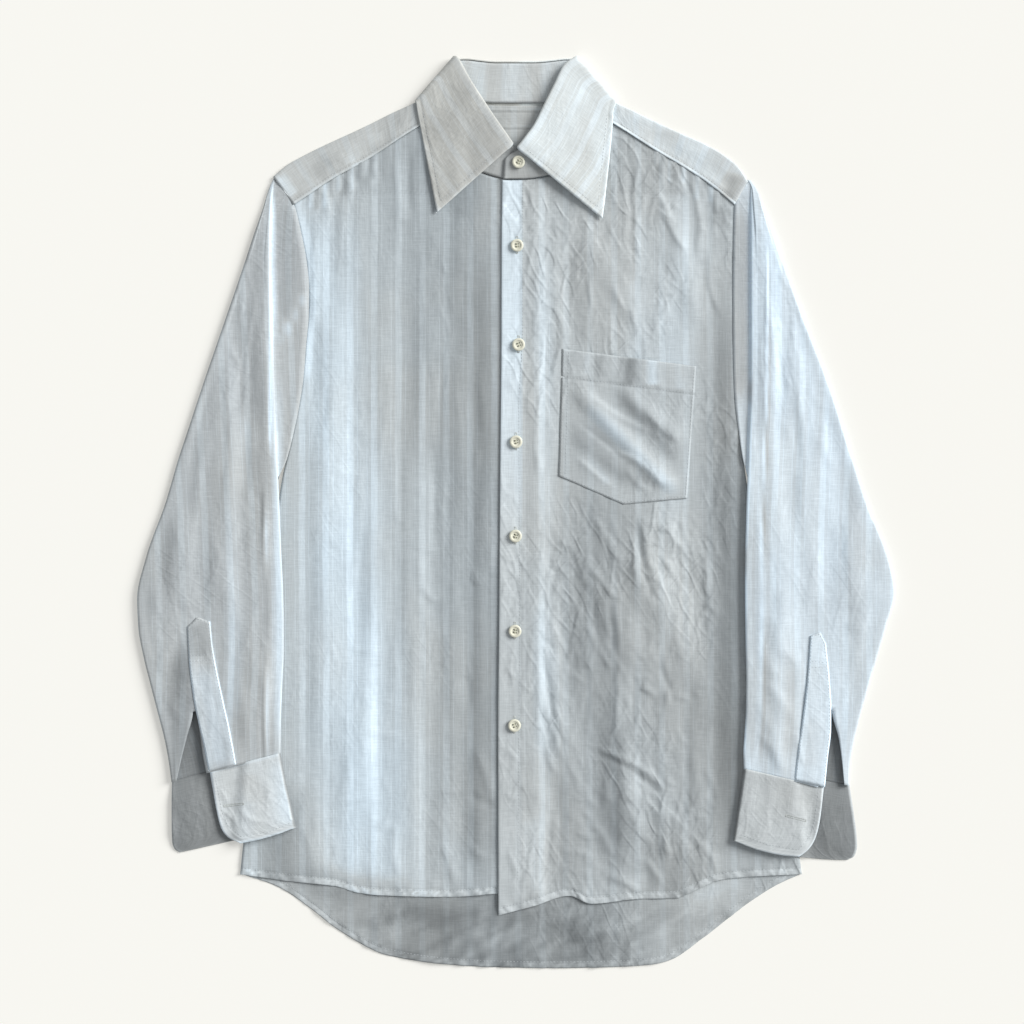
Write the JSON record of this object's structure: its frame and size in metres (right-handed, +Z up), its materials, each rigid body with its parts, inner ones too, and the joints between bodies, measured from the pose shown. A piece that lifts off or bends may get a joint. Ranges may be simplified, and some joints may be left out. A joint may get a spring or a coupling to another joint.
{
  "type": "linen shirt",
  "caption": "Long-sleeved shirt in pale striped linen, laid flat and buttoned, with a pointed collar, chest pocket, open cuffs and a curved tail.",
  "frame": {"origin": "the middle of the shirt's outline, on the surface that its back lies on", "axes": "+X to the viewer's right, which is the wearer's left, +Y from the hem to the collar, +Z up from the surface, out of the shirt's front"},
  "size_m": [0.6816, 0.8202, 0.0127],
  "materials": {
    "linen": "matte, sheer, with tone-on-tone stripes",
    "doubled_linen": "matte, two layers, with tone-on-tone stripes",
    "button": "ivory, softly polished"
  },
  "bodies": {
    "root": {"back": "linen", "front_right": "linen", "front_left": "linen", "yoke": "linen", "sleeve_right": "linen", "sleeve_left": "linen", "pocket": "linen", "gauntlet_right": "doubled_linen", "gauntlet_left": "doubled_linen", "cuff_right": "doubled_linen", "cuff_left": "doubled_linen", "collar_stand": "doubled_linen", "collar_leaf": "doubled_linen", "button_collar": "button", "button_1": "button", "button_2": "button", "button_3": "button", "button_4": "button", "button_5": "button", "button_6": "button", "button_cuff_right": "button", "button_cuff_left": "button"}
  },
  "joints": []
}
